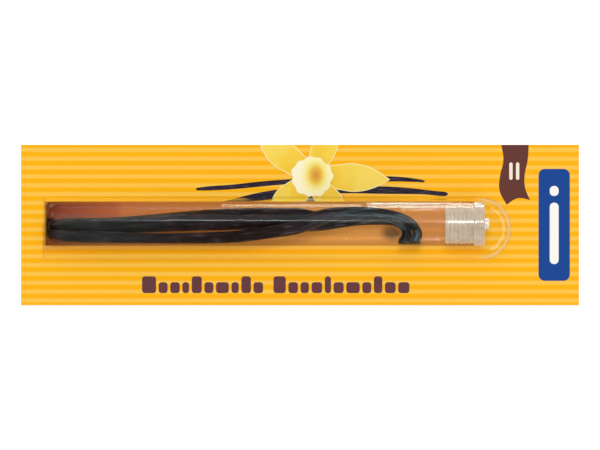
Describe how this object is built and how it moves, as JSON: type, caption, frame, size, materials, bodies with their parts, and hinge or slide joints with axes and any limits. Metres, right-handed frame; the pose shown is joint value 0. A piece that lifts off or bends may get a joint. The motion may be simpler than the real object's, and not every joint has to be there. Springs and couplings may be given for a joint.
{
  "type": "vanilla pod pack",
  "caption": "Long printed card with a clear domed blister over a clear stoppered tube that holds dark wrinkled vanilla pods with hooked stem ends.",
  "frame": {"origin": "middle of the card's back face, which lies on the surface below", "axes": "+X along the card from the tube's closed end towards its stopper, +Y across the card towards its top edge, +Z out of the printed face"},
  "size_m": [0.2, 0.0576, 0.0173],
  "materials": {
    "back_board": "satin",
    "printed_board": "satin",
    "clear_sheet": "gloss",
    "clear_tube": "gloss",
    "clear_stopper": "gloss",
    "vanilla_pod": "satin"
  },
  "bodies": {
    "root": {"card_back": "back_board", "card_front": "printed_board", "blister": "clear_sheet", "tube": "clear_tube", "stopper": "clear_stopper", "pod_broad": "vanilla_pod", "pod_slim": "vanilla_pod"}
  },
  "joints": []
}
